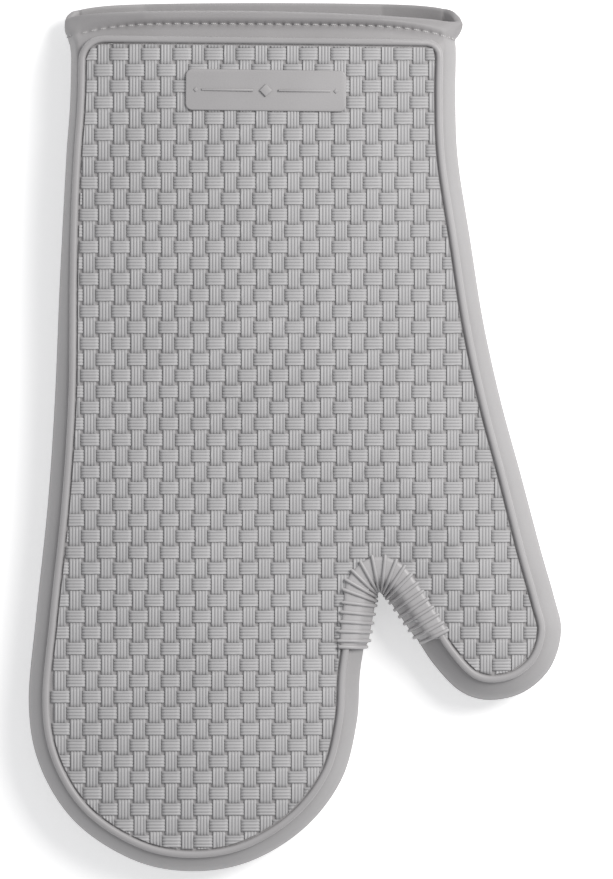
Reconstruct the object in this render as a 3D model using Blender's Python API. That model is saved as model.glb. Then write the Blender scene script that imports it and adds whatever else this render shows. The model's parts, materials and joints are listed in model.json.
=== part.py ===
"""Silicone oven mitt with a padded cotton liner, lying on the back of the hand.

X runs across the hand with the thumb at +X, Y runs along it with the cuff at +Y, and Z is up, out of the
palm. The origin is under the middle of the mitt, in the plane that it lies on.

The mitt is a pouch in three layers: silicone skin, padding and lining. Each layer is a front half and a
back half that meet at half height, and each half is split at two folds, so that the fingers and the
thumb turn on the palm.
"""

import math

import bmesh
import bpy
from mathutils import Vector

MM = 0.001

# The pouch, in millimetres
MIDDLE = 12.6  # height of the line where the front and back halves meet
HALF_HEIGHT = 11.4  # of the skin, above and below that line, without its border bead
EDGE_REACH = 6.5  # how far in the rounded side wall runs before the skin is flat
EDGE_SHRINK = 0.45  # how much of that reach is lost for each millimetre of depth
GAP = 0.3  # between pieces that touch
SKIN_WALL = 2.0
PADDING_WALL = 2.5
LINING_WALL = 1.1
EDGE_ANGLES = (0, 30, 60, 90)  # degrees round the side wall, from half height to the flat face
SIDES = {"front": 1, "back": -1}  # the half's name and the way from half height to its face
FULL_HEIGHT = (-10, 40)  # from well below the mitt to well above it, for the cutting blocks
SHARP_ANGLE = 35  # degrees between faces, from which their edge is shaded sharp

# Depths of each layer's outer and inner face below the outside of the skin
SKIN = (0.0, SKIN_WALL)
PADDING = (SKIN[1] + GAP, SKIN[1] + GAP + PADDING_WALL)
LINING = (PADDING[1] + GAP, PADDING[1] + GAP + LINING_WALL)

# The outline seen from above: down the little-finger side from beyond the cuff, round the fingertips,
# into the crotch, round the thumb and up to beyond the cuff again
OUTLINE = [
    (-85.2, 190), (-85.2, 135), (-87, 105), (-89.3, 60), (-91.2, 14), (-93.9, -26), (-98.3, -68),
    (-101.1, -102), (-96.6, -126), (-83, -147), (-61, -161.1), (-39, -165.2), (-17, -161.4),
    (3.5, -148.8), (17.5, -130.5), (23.3, -109), (24.3, -90), (26.3, -76), (29, -63.5),
    (32.4, -58.9), (36.2, -62.7), (44, -75.3), (53, -86.5), (63, -96.7), (74, -100), (87, -97),
    (97, -87.8), (101.1, -74), (98.4, -61), (93, -42), (85.6, -14), (78, 14), (71.4, 44),
    (66.5, 75), (61.9, 105), (60.9, 128), (61.2, 150), (61.2, 190),
]
SPAN_STEPS = 2  # straight pieces between two outline points
CROTCH = Vector((32.4, -58.9))

# The cuff's edge from the little-finger side to the thumb side, beyond which everything is cut away
CUFF_EDGE = [
    (-120, 140), (-85.6, 156), (-83, 161), (-75, 164), (-60, 165.2),
    (25, 164.8), (50, 163.4), (59, 160), (61.6, 154), (95, 140),
]
FRONT_SETBACK = 5.0  # the front skin's edge lies this far inside the back skin's
LINING_SETBACK = 6.5  # and so does the whole lining's, just past the seam
HEM_START = 147.0  # the padding ends here, and the lining's turned hem fills its room from here on

# The raised bead that borders both faces
BEAD_INSET = 5.2
BEAD_WIDTH = 2.9
BEAD_HEIGHT = 1.2
BEAD_ROOT = 0.8  # how deep it is sunk in the skin
BEAD_TOP_Y = 151.5
BEAD_CORNERS = (9.5, 6.5)  # radii at the cuff, little-finger side and thumb side
BEAD_THUMB_END_Y = -74.5  # the bead stops at the ends of the crotch sleeve
BEAD_FINGER_END_Y = -80.5

# The two folds. Each hinge lies along its fold at half height
FINGER_FOLD = {"pivot": Vector((-40, -100)), "across": Vector((0, -1)), "run": (-110, 80), "angle": 60}
THUMB_ACROSS = Vector((math.cos(math.radians(-30)), math.sin(math.radians(-30))))
THUMB_FOLD_OFFSET = 15.0  # from the crotch to the thumb's hinge
THUMB_FOLD = {
    "pivot": CROTCH + THUMB_ACROSS * THUMB_FOLD_OFFSET,
    "across": THUMB_ACROSS,
    "run": (-24, 150),
    "angle": 60,
}
FOLD_GAP = 0.4
FOLD_SPARE_ANGLE = 1.5  # degrees of room left between the leaning faces when the fold is closed

# The ribbed sleeve round the crotch: for each station, its place on the crotch's edge and on the
# sleeve's far border
SLEEVE_STATIONS = [
    ((26.2, -80), (16.6, -80)), ((27.6, -69.5), (17.2, -68)), ((29, -63.5), (19.3, -57.4)),
    ((30.6, -60.4), (24, -49)), ((32.4, -58.9), (32.6, -45.6)), ((34.6, -60.6), (40.8, -49)),
    ((37.4, -64.6), (46, -55)), ((42.6, -73.2), (52.2, -65.6)), ((46.6, -79), (57.4, -73.2)),
]
SLEEVE_RIBS = 18
SLEEVE_CLEARANCE = 0.7  # between the sleeve and the skin's side wall
SLEEVE_FACE_CLEARANCE = 0.4
SLEEVE_RIDGE = 1.6  # height of a rib above the skin
SLEEVE_VALLEY = 1.1

# The blank name plate
PLATE_SIZE = (61.0, 15.6)
PLATE_CENTRE = (-11.0, 131.4)
PLATE_TURN = -0.7  # degrees
PLATE_CORNER = 2.5
PLATE_THICKNESS = 1.3

# The seam's thread, once round the cuff
SEAM_Y = 156.2
SEAM_DROP = 3.0  # how much lower it runs at the sides than in the middle
SEAM_X = (-85.3, 61.0)
THREAD_WIDTH = 0.8
THREAD_CLEARANCE = 0.3
THREAD_HEIGHT = 0.6
THREAD_FLAT_STEPS = 8

# Colour, roughness and metallic value of each material
MATERIALS = {
    "grey_silicone": ((0.42, 0.41, 0.42), 0.55, 0.0),
    "cotton_lining": ((0.50, 0.49, 0.49), 0.95, 0.0),
    "cotton_padding": ((0.80, 0.78, 0.74), 1.0, 0.0),
    "grey_thread": ((0.48, 0.47, 0.47), 0.9, 0.0),
}


def clear_scene():
    for item in list(bpy.data.objects):
        bpy.data.objects.remove(item, do_unlink=True)


def material(name):
    found = bpy.data.materials.get(name)
    if found:
        return found
    colour, roughness, metallic = MATERIALS[name]
    made = bpy.data.materials.new(name)
    made.use_nodes = True
    shader = made.node_tree.nodes["Principled BSDF"]
    shader.inputs["Base Color"].default_value = (*colour, 1)
    shader.inputs["Roughness"].default_value = roughness
    shader.inputs["Metallic"].default_value = metallic
    return made


def new_object(name, bm, material_name=None):
    """Scales the mesh from millimetres to metres and puts it in the scene."""
    bmesh.ops.recalc_face_normals(bm, faces=bm.faces)
    bmesh.ops.scale(bm, vec=(MM, MM, MM), verts=bm.verts)
    mesh = bpy.data.meshes.new(name)
    bm.to_mesh(mesh)
    bm.free()
    if material_name:
        mesh.materials.append(material(material_name))
    made = bpy.data.objects.new(name, mesh)
    bpy.context.scene.collection.objects.link(made)
    return made


def new_cutter(name, bm):
    made = new_object(name, bm)
    made.hide_render = True
    made.display_type = "WIRE"
    return made


def add_boolean(target, cutter, operation):
    modifier = target.modifiers.new(f"{operation.lower()}_{cutter.name}", "BOOLEAN")
    modifier.operation = operation
    modifier.object = cutter
    modifier.solver = "EXACT"


def smooth_curve(points, steps):
    """Points along a Catmull-Rom curve through the given ones, with `steps` spans between neighbours."""
    points = [Vector(p) for p in points]
    padded = [points[0] * 2 - points[1], *points, points[-1] * 2 - points[-2]]
    curve = []
    for a, b, c, d in zip(padded, padded[1:], padded[2:], padded[3:]):
        for step in range(steps):
            t = step / steps
            curve.append(
                0.5 * (2 * b + (c - a) * t + (2 * a - 5 * b + 4 * c - d) * t**2
                       + (3 * b - a - 3 * c + d) * t**3)
            )
    return [*curve, points[-1]]


def left_normals(path):
    """The unit normal to the left of the path's direction, at each of its points."""
    normals = []
    for before, after in zip([path[0], *path[:-1]], [*path[1:], path[-1]]):
        along = (after - before).normalized()
        normals.append(Vector((-along.y, along.x)))
    return normals


def outline(inset=0.0):
    """The mitt's outline, moved inwards."""
    path = smooth_curve(OUTLINE, SPAN_STEPS)
    return [p + n * inset for p, n in zip(path, left_normals(path))]


def loft(loops):
    """A closed body through rings of equally many points, capped at both ends."""
    bm = bmesh.new()
    rings = [[bm.verts.new(p) for p in loop] for loop in loops]
    for low, high in zip(rings, rings[1:]):
        for i in range(len(low)):
            bm.faces.new((low[i - 1], low[i], high[i], high[i - 1]))
    bm.faces.new(reversed(rings[0]))
    bm.faces.new(rings[-1])
    return bm


def prism(points, low, high):
    return loft([[(*p, z) for p in points] for z in (low, high)])


def edge_profile(depth, side):
    """(inset, height) round the side wall of a half pouch, from half height to its flat face."""
    reach = EDGE_REACH - EDGE_SHRINK * depth
    start = GAP / 2
    rise = HALF_HEIGHT - depth - start
    profile = []
    for degrees in EDGE_ANGLES:
        angle = math.radians(degrees)
        inset = depth + reach * (1 - math.cos(angle))
        profile.append((inset, MIDDLE + side * (start + rise * math.sin(angle))))
    return profile


def pouch(depth, sides):
    """The solid pouch at a depth below the skin's outside: its front half, its back half or both."""
    rings = [ring for side in sides for ring in edge_profile(depth, side)[::side]]
    return loft([[(*p, height) for p in outline(inset)] for inset, height in rings])


def fold_block(name, fold, lean):
    """The space beyond a fold. Above the hinge its face leans towards the palm (-1) or away from it (1)."""
    across = fold["across"]
    along = Vector((-across.y, across.x))
    far = 200
    floor, ceiling = FULL_HEIGHT
    offset = lean * FOLD_GAP / 2
    slope = math.tan(math.radians(fold["angle"] / 2 + FOLD_SPARE_ANGLE))
    leaning = offset + lean * slope * (ceiling - MIDDLE)
    section = [(offset, floor), (offset, MIDDLE), (leaning, ceiling), (far, ceiling), (far, floor)]
    loops = []
    for run in fold["run"]:
        start = fold["pivot"] + along * run
        loops.append([(*(start + across * reach), height) for reach, height in section])
    return new_cutter(name, loft(loops))


def beyond_cuff(name, setback):
    """The space beyond the cuff's edge."""
    edge = [(x, y - setback) for x, y in CUFF_EDGE]
    return new_cutter(name, prism([*edge, (150, 260), (-150, 260)], *FULL_HEIGHT))


def arc(centre, radius, first, last, step=30):
    """Points on an arc, between two angles in degrees."""
    angles = [math.radians(a) for a in range(first, last + 1, step)]
    return [Vector(centre) + radius * Vector((math.cos(a), math.sin(a))) for a in angles]


def bead_path():
    """The middle of the border bead, from the thumb end of the crotch sleeve round to its finger end."""
    path = outline(BEAD_INSET + BEAD_WIDTH / 2)
    crotch = min(range(len(path)), key=lambda i: (path[i] - CROTCH).length)
    left_radius, right_radius = (radius - BEAD_WIDTH / 2 for radius in BEAD_CORNERS)
    top = BEAD_TOP_Y - BEAD_WIDTH / 2
    thumb_side = [p for p in path[crotch:] if p.y < top - right_radius]
    while thumb_side[0].y > BEAD_THUMB_END_Y:
        thumb_side.pop(0)
    finger_side = [p for p in path[:crotch] if p.y < top - left_radius]
    while finger_side[-1].y > BEAD_FINGER_END_Y:
        finger_side.pop()
    right_centre = (thumb_side[-1].x - right_radius, top - right_radius)
    left_centre = (finger_side[0].x + left_radius, top - left_radius)
    corners = [*arc(right_centre, right_radius, 0, 90), *arc(left_centre, left_radius, 90, 180)]
    return [*thumb_side, *corners, *finger_side]


def bead(name, side):
    """The bead's solid on one face, sunk in the skin."""
    path = bead_path()
    face = MIDDLE + side * HALF_HEIGHT
    half = BEAD_WIDTH / 2
    low, high = sorted((face - side * BEAD_ROOT, face + side * BEAD_HEIGHT))
    loops = []
    for p, normal in zip(path, left_normals(path)):
        inner, outer = p + normal * half, p - normal * half
        loops.append([(*inner, low), (*outer, low), (*outer, high), (*inner, high)])
    return new_cutter(name, loft(loops))


def make_layer(layer, depths, material_name, folds, beyond, joined=None):
    """One layer of the pouch: a front and a back half, each split into palm, fingers and thumb."""
    inner = new_cutter(f"inside_{layer}", pouch(depths[1], (-1, 1)))
    for half, side in SIDES.items():
        for body in ("palm", "finger", "thumb"):
            piece = new_object(f"{body}_{half}_{layer}", pouch(depths[0], (side,)), material_name)
            if joined:
                add_boolean(piece, joined[half], "UNION")
            add_boolean(piece, inner, "DIFFERENCE")
            if body == "palm":
                for cutter in (folds["finger_room"], folds["thumb_room"], beyond[half]):
                    add_boolean(piece, cutter, "DIFFERENCE")
            else:
                add_boolean(piece, folds[f"{body}_space"], "INTERSECT")
            piece.data.shade_smooth()
            piece.data.set_sharp_from_angle(angle=math.radians(SHARP_ANGLE))


def make_hem(half):
    """The lining's turned hem, which takes up the padding's room beyond HEM_START."""
    hem = new_cutter(f"hem_{half}", pouch(SKIN[1] + GAP, (SIDES[half],)))
    below = [(-150, -250), (150, -250), (150, HEM_START), (-150, HEM_START)]
    add_boolean(hem, new_cutter(f"below_hem_{half}", prism(below, *FULL_HEIGHT)), "DIFFERENCE")
    return hem


def make_pouch():
    folds = {}
    for name, fold in (("finger", FINGER_FOLD), ("thumb", THUMB_FOLD)):
        folds[f"{name}_room"] = fold_block(f"{name}_room", fold, -1)
        folds[f"{name}_space"] = fold_block(f"{name}_space", fold, 1)
    skin_cuffs = {
        "front": beyond_cuff("beyond_front_skin", FRONT_SETBACK),
        "back": beyond_cuff("beyond_back_skin", 0.0),
    }
    lining_cuff = beyond_cuff("beyond_lining", LINING_SETBACK)
    padding_end = HEM_START - GAP
    past_padding = [(-150, padding_end), (150, padding_end), (150, 260), (-150, 260)]
    padding_cuff = new_cutter("beyond_padding", prism(past_padding, *FULL_HEIGHT))
    beads = {half: bead(f"{half}_bead", side) for half, side in SIDES.items()}
    hems = {half: make_hem(half) for half in SIDES}
    make_layer("skin", SKIN, "grey_silicone", folds, skin_cuffs, joined=beads)
    make_layer("padding", PADDING, "cotton_padding", folds, dict.fromkeys(SIDES, padding_cuff))
    make_layer("lining", LINING, "cotton_lining", folds, dict.fromkeys(SIDES, lining_cuff), joined=hems)


def sleeve_section(edge, border, height):
    """The sleeve's cross-section at a station: its outside over the front, round the edge and back, then
    its inside, as points above and below the line from the crotch's edge to the far border."""
    inward = (border - edge).normalized()
    width = (border - edge).length

    def face(clearance, side_clearance):
        points = [(width, MIDDLE + HALF_HEIGHT + clearance)]
        for degrees in (90, 60, 30, 0, -30, -60, -90):
            angle = math.radians(degrees)
            inset = EDGE_REACH * (1 - math.cos(angle)) - side_clearance * math.cos(angle)
            points.append((inset, MIDDLE + (HALF_HEIGHT + clearance) * math.sin(angle)))
        points.append((width, MIDDLE - HALF_HEIGHT - clearance))
        return [(*(edge + inward * inset), max(0.0, z)) for inset, z in points]

    return [*face(height, height), *reversed(face(SLEEVE_FACE_CLEARANCE, SLEEVE_CLEARANCE))]


def make_crotch_sleeve():
    """The ribbed sleeve that wraps the crotch's edge, its ribs fanned round the corner."""
    edges = smooth_curve([edge for edge, border in SLEEVE_STATIONS], 8)
    borders = smooth_curve([border for edge, border in SLEEVE_STATIONS], 8)
    count = 2 * SLEEVE_RIBS + 1
    loops = []
    for i in range(count):
        place = round(i * (len(edges) - 1) / (count - 1))
        height = SLEEVE_RIDGE if i % 2 else SLEEVE_VALLEY
        loops.append(sleeve_section(edges[place], borders[place], height))
    new_object("crotch_sleeve", loft(loops), "grey_silicone")


def make_name_plate():
    """The blank plate on the palm, with round corners and a softened top edge."""
    bm = bmesh.new()
    bmesh.ops.create_cube(bm, size=1)
    bmesh.ops.scale(bm, vec=(*PLATE_SIZE, PLATE_THICKNESS), verts=bm.verts)
    upright = [e for e in bm.edges if abs(e.verts[0].co.z - e.verts[1].co.z) > PLATE_THICKNESS / 2]
    bmesh.ops.bevel(bm, geom=upright, offset=PLATE_CORNER, segments=4, profile=0.5, affect="EDGES")
    bottom = MIDDLE + HALF_HEIGHT + GAP
    plate = new_object("name_plate", bm, "grey_silicone")
    plate.location = Vector((*PLATE_CENTRE, bottom + PLATE_THICKNESS / 2)) * MM
    plate.rotation_euler.z = math.radians(PLATE_TURN)


def seam_height(x):
    """Where the cuff's seam runs: level in the middle and lower towards the sides."""
    middle = sum(SEAM_X) / 2
    share = (x - middle) / (SEAM_X[1] - middle)
    return SEAM_Y - SEAM_DROP * share**4


def make_cuff_thread():
    """The seam's thread, laid once round the outside of the cuff."""
    quarter = [math.radians(a) for a in EDGE_ANGLES]
    inner_width = (SEAM_X[1] - SEAM_X[0]) / 2 - EDGE_REACH
    centre = sum(SEAM_X) / 2

    def ring(clearance):
        points = []
        for step in range(THREAD_FLAT_STEPS):
            points.append((inner_width * (1 - 2 * step / THREAD_FLAT_STEPS), HALF_HEIGHT + clearance))
        for angle in quarter[::-1] + [-a for a in quarter[1:]]:
            reach = (EDGE_REACH + clearance) * math.cos(angle)
            points.append((-inner_width - reach, (HALF_HEIGHT + clearance) * math.sin(angle)))
        return points + [(-x, -z) for x, z in points]

    near, far = ring(THREAD_CLEARANCE), ring(THREAD_CLEARANCE + THREAD_HEIGHT)
    bm = bmesh.new()
    sections = []
    for (nx, nz), (fx, fz) in zip(near, far):
        section = []
        for (x, z), shift in (((nx, nz), -0.5), ((nx, nz), 0.5), ((fx, fz), 0.5), ((fx, fz), -0.5)):
            x += centre
            section.append(bm.verts.new((x, seam_height(x) + shift * THREAD_WIDTH, MIDDLE + z)))
        sections.append(section)
    for i in range(len(sections)):
        a, b = sections[i - 1], sections[i]
        for k in range(4):
            bm.faces.new((a[k - 1], a[k], b[k], b[k - 1]))
    new_object("cuff_thread", bm, "grey_thread")


clear_scene()
make_pouch()
make_crotch_sleeve()
make_name_plate()
make_cuff_thread()
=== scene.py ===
"""The looks of a grey silicone oven mitt with a padded cotton liner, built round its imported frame.

Shapes are worked out flat, in millimetres: X across the hand, Y along it and Z up from the table. Then
`finish` puts the padding's crown under every piece alike and turns it into metres.
"""

import json
import math

import bmesh
import bpy
from mathutils import Matrix, Vector, kdtree, noise


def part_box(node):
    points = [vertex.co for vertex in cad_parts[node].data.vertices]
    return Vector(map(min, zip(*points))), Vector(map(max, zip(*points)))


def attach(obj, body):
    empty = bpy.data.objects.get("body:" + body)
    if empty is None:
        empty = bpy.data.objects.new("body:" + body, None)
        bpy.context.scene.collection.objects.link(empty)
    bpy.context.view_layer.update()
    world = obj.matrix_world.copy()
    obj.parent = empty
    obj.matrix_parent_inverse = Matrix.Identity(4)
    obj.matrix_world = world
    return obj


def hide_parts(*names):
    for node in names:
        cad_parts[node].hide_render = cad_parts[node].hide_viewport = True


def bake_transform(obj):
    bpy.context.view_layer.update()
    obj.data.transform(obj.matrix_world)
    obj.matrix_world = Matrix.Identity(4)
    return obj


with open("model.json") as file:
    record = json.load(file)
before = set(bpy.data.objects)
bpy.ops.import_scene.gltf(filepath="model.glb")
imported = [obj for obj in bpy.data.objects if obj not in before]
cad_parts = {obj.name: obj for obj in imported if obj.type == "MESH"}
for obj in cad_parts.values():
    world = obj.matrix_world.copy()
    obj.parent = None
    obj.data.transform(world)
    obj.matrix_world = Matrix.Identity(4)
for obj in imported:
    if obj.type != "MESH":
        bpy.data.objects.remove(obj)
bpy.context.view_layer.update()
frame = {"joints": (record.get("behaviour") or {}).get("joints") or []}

MM = 0.001

# The mitt's outline: down the little-finger side from the cuff, round the fingertips, into the crotch,
# round the thumb and up to the cuff again
OUTLINE = [
    (-85.2, 190), (-85.2, 135), (-87, 105), (-89.3, 60), (-91.2, 14), (-93.9, -26), (-98.3, -68),
    (-101.1, -102), (-96.6, -126), (-83, -147), (-61, -161.1), (-39, -165.2), (-17, -161.4),
    (3.5, -148.8), (17.5, -130.5), (23.3, -109), (24.6, -90), (26.8, -76), (29, -63.2),
    (32.3, -57.8), (37, -62), (45.2, -74.6), (53, -86.5), (63, -96.7), (74, -100), (87, -97),
    (97, -87.8), (101.1, -74), (98.4, -61), (93, -42), (85.6, -14), (78, 14), (71.4, 44),
    (66.5, 75), (61.9, 105), (60.9, 128), (61.2, 150), (61.2, 190),
]
CROTCH = Vector((32.3, -57.8))
SPLIT_Y = -59.0  # the fingers' pieces begin below this line, on the little-finger side of the crotch

# Heights, from the middle, where the folds' axes lie
MIDDLE = frame["joints"][0]["pos_m"][2] / MM
HALF_HEIGHT = 11.4
FACES = {"front": 1, "back": -1}

# The side wall from half height to the flat face, as (inset, rise), with the mould's parting line first
SIDE_WALL = [
    (-0.16, 0), (0.05, 0.3), (0.2, 1.5), (0.75, 3.9), (1.75, 6.4), (2.85, 8.6), (3.95, 10.3),
    (4.9, 11.1), (6.6, HALF_HEIGHT),
]
SKIN_WALL = 2.0
PATH_STEP = 2.2  # along the outline
SHEET_STEP = 3.6  # across the flat faces

# The crown that the padding gives the palm
CROWN = 4.2
CROWN_REACH = 32.0
UNEVENNESS = 0.4
UNEVEN_SIZE = 42.0

# The border bead, and the side wall that is wider round the thumb
BEAD_INSET = 5.2
CUFF_NARROWING = (2.35, 0.4)  # of the side wall, on the little-finger side and the thumb side
THUMB_EXTRA = 1.8
THUMB_EXTRA_AT = Vector((48, -82))
THUMB_EXTRA_REACH = 60.0
BEAD_WIDTH = 2.9
BEAD_GAP = 0.45  # between the bead and the relief
BEAD_HEIGHT = 1.9
BEAD_TOP = 151.7
BEAD_TILT = -0.011  # how much the bead falls across the cuff towards the thumb side, per millimetre
BEAD_CORNERS = (9.5, 6.5)  # the radii beside the cuff, on the little-finger side and the thumb side
BEAD_CORNERS_AT = (-75, 52)
BEAD_STEP = 1.9
BEAD_THUMB_END_Y = -74.0
BEAD_FINGER_END_Y = -77.5

# The plain-weave relief: a cell is one strand wide and one strand high
CELL = (5.99, 6.1)
WEAVE_START = (-72.7, 145.2)  # the middle of a lengthwise strand's float
LENGTHWISE_FLOAT = (4.75, 8.0)
CROSSWISE_FLOAT = (4.85, 7.55)
FLOAT_HEIGHT = 1.15
FLOAT_ROOT = 0.35  # how far its foot is sunk in the skin
BACK_FLATTENED = 0.75  # the back's relief is pressed this flat by the mitt's weight
UNDER_SLEEVE = 6.0  # from the crotch's edge, where the sleeve hides the skin and has no floats under it
FLOAT_REACH = 4.4  # from a float's middle to its farthest corner
RIBS = 4
RIB_GROOVE = 0.34
WEAVE_ROWS = range(-1, 53)
WEAVE_COLUMNS = range(-3, 32)
WEAVE_LEAN = 0.0065  # how much the lengthwise strands lean towards the thumb side

# The cuff's mouth, where front and back close up towards the sides
CUFF_MIDDLE = -12.0
CUFF_HALF_WIDTH = 73.2
MOUTH_SIDES = (-85.25, 61.1)
MOUTH_TAPER = 30.0  # from a corner, how far in the mouth keeps widening
MOUTH_GAPE = 0.8  # the share of its height that it keeps between its corners
MOUTH_PINCHED = 0.15  # and at them
MOUTH_BEGINS = 6.0  # below the seam
MOUTH_CLOSES_OVER = 14.0
MOUTH_CORNERS = (-2.5, 5.5)  # the heights of its two corners, from the middle
MOUTH_LIFT = 5.0  # how much higher it closes between them
HEM_FLARE = 2.1


def clear_default_scene():
    """Takes away the cube, the light and the camera of a new file."""
    for name in ("Cube", "Light", "Camera"):
        item = bpy.data.objects.get(name)
        if item:
            bpy.data.objects.remove(item, do_unlink=True)


# Curves and the outline ---------------------------------------------------------------------------


def smooth_curve(points, spacing):
    """Evenly spaced points along a Catmull-Rom curve through the given ones."""
    points = [Vector(p) for p in points]
    padded = [points[0] * 2 - points[1], *points, points[-1] * 2 - points[-2]]
    dense = []
    for a, b, c, d in zip(padded, padded[1:], padded[2:], padded[3:]):
        steps = max(2, math.ceil((c - b).length / (spacing / 4)))
        for step in range(steps):
            t = step / steps
            dense.append(
                0.5 * (2 * b + (c - a) * t + (2 * a - 5 * b + 4 * c - d) * t**2
                       + (3 * b - a - 3 * c + d) * t**3)
            )
    return resample([*dense, points[-1]], spacing)


def resample(path, spacing):
    """The same path with evenly spaced points, about `spacing` apart."""
    lengths = [0.0]
    for a, b in zip(path, path[1:]):
        lengths.append(lengths[-1] + (b - a).length)
    count = max(2, round(lengths[-1] / spacing))
    even, k = [], 0
    for i in range(count + 1):
        target = lengths[-1] * i / count
        while k < len(path) - 2 and lengths[k + 1] < target:
            k += 1
        share = (target - lengths[k]) / max(lengths[k + 1] - lengths[k], 1e-9)
        even.append(path[k].lerp(path[k + 1], share))
    return even


def left_normals(path):
    """The direction square to a path at each of its points, on its left."""
    normals = []
    for before, after in zip([path[0], *path[:-1]], [*path[1:], path[-1]]):
        along = (after - before).normalized()
        normals.append(Vector((-along.y, along.x)))
    return normals


EDGE = smooth_curve(OUTLINE, 0.8)
EDGE_NORMALS = left_normals(EDGE)
EDGE_TREE = kdtree.KDTree(len(EDGE))
for index, point in enumerate(EDGE):
    EDGE_TREE.insert((*point, 0), index)
EDGE_TREE.balance()


def edge_near(x, y):
    """How far a point lies inside the outline, and the inward direction there."""
    place, index, distance = EDGE_TREE.find((x, y, 0))
    normal = EDGE_NORMALS[index]
    inset = (Vector((x, y)) - EDGE[index]).dot(normal)
    if inset < 0 or abs(inset - distance) < 0.5:
        return inset, normal
    return distance, normal


def crown(x, y):
    """How much the padding lifts the palm face at a place."""
    inset = max(0.0, edge_near(x, y)[0])
    rise = 1 - math.exp(-((inset / CROWN_REACH) ** 1.5))
    wave = noise.noise((x / UNEVEN_SIZE, y / UNEVEN_SIZE, 0.3)) * (1 - math.exp(-inset / 9))
    return CROWN * rise + UNEVENNESS * wave


def smoothstep(t):
    """A smooth rise from 0 to 1 as t goes from 0 to 1."""
    t = max(0.0, min(1.0, t))
    return t * t * (3 - 2 * t)


def side_width(point):
    """The side wall's width from the outline to the bead."""
    gap = (point - THUMB_EXTRA_AT).length / THUMB_EXTRA_REACH
    extra = THUMB_EXTRA * math.exp(-(gap**2)) * smoothstep((point.x - CROTCH.x) / 8)
    to_thumb_side = smoothstep((point.x - CUFF_MIDDLE + 20) / 40)
    narrowing = CUFF_NARROWING[0] * (1 - to_thumb_side) + CUFF_NARROWING[1] * to_thumb_side
    return BEAD_INSET + extra - narrowing * smoothstep((point.y - 2) / 100)


def seam_y(x):
    """Where the stitched seam runs, which falls away towards the cuff's two sides."""
    u = (x - CUFF_MIDDLE) / CUFF_HALF_WIDTH
    return 156.6 - 0.6 * u - 5.2 * abs(u) ** 5


def mouth_height(x, y):
    """The share of its height that the mitt keeps at a place, which falls towards the mouth's two sides, and
    the height that its faces close up to."""
    left, right = MOUTH_SIDES
    inset = min(x - left, right - x) + HEM_FLARE
    t = max(0.0, min(1.0, inset / MOUTH_TAPER))
    closed = max(MOUTH_PINCHED, MOUTH_GAPE * t**0.7)
    share = 1 - smoothstep((y - seam_y(x) + MOUTH_BEGINS) / MOUTH_CLOSES_OVER) * (1 - closed)
    across = max(0.0, min(1.0, (x - left) / (right - left)))
    lift = MOUTH_LIFT * (1 - (2 * across - 1) ** 2)
    return share, MOUTH_CORNERS[0] * (1 - across) + MOUTH_CORNERS[1] * across + lift


# Making and finishing pieces ----------------------------------------------------------------------


def extrude_row(bm, row, places, closed=False):
    """Extrudes a row of vertices to the given places and returns the new row."""
    pairs = list(zip(row, row[1:]))
    if closed:
        pairs.append((row[-1], row[0]))
    edges = [bm.edges.get(pair) or bm.edges.new(pair) for pair in pairs]
    fresh = set(bmesh.ops.extrude_edge_only(bm, edges=edges)["geom"])
    new_row = []
    for vertex, place in zip(row, places):
        twin = next(e.other_vert(vertex) for e in vertex.link_edges if e.other_vert(vertex) in fresh)
        twin.co = place
        new_row.append(twin)
    return new_row


def sweep(bm, rows, closed=False):
    """A surface through rows of equally many places."""
    first = row = [bm.verts.new(place) for place in rows[0]]
    for places in rows[1:]:
        row = extrude_row(bm, row, places, closed)
    return first, row


def face_outwards(bm):
    """Turns every face outwards, also where recalculating turned the whole shape inside out."""
    bm.normal_update()
    bmesh.ops.recalc_face_normals(bm, faces=bm.faces)
    if bm.calc_volume(signed=True) < 0:
        bmesh.ops.reverse_faces(bm, faces=bm.faces)


def cap(bm, row):
    """Closes a ring of vertices with one face."""
    edges = [bm.edges.get(pair) for pair in zip(row, row[1:] + row[:1])]
    bmesh.ops.contextual_create(bm, geom=row + edges)


def finish(name, bm, material, sharp=40):
    """Settles the flat shape over the padding, turns it into metres and makes its object."""
    for vertex in bm.verts:
        x, y, z = vertex.co
        rise = z - MIDDLE
        lift = crown(x, y) * min(1.0, rise / HALF_HEIGHT) if rise > 0 else 0.0
        share, corner = mouth_height(x, y)
        vertex.co.z = max(0.0, MIDDLE + corner * (1 - share) + (rise + lift) * share)
    bmesh.ops.scale(bm, vec=(MM, MM, MM), verts=bm.verts)
    bm.edges.index_update()
    open_edges = [e.index for e in bm.edges if e.is_boundary]
    mesh = bpy.data.meshes.new(name)
    bm.to_mesh(mesh)
    bm.free()
    mesh.materials.append(material)
    mesh.shade_smooth()
    mesh.set_sharp_from_angle(angle=math.radians(sharp))
    for index in open_edges:  # the wall that Solidify gives them later meets the face squarely
        mesh.edges[index].use_edge_sharp = True
    piece = bpy.data.objects.new(name, mesh)
    bpy.context.scene.collection.objects.link(piece)
    return piece


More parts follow.
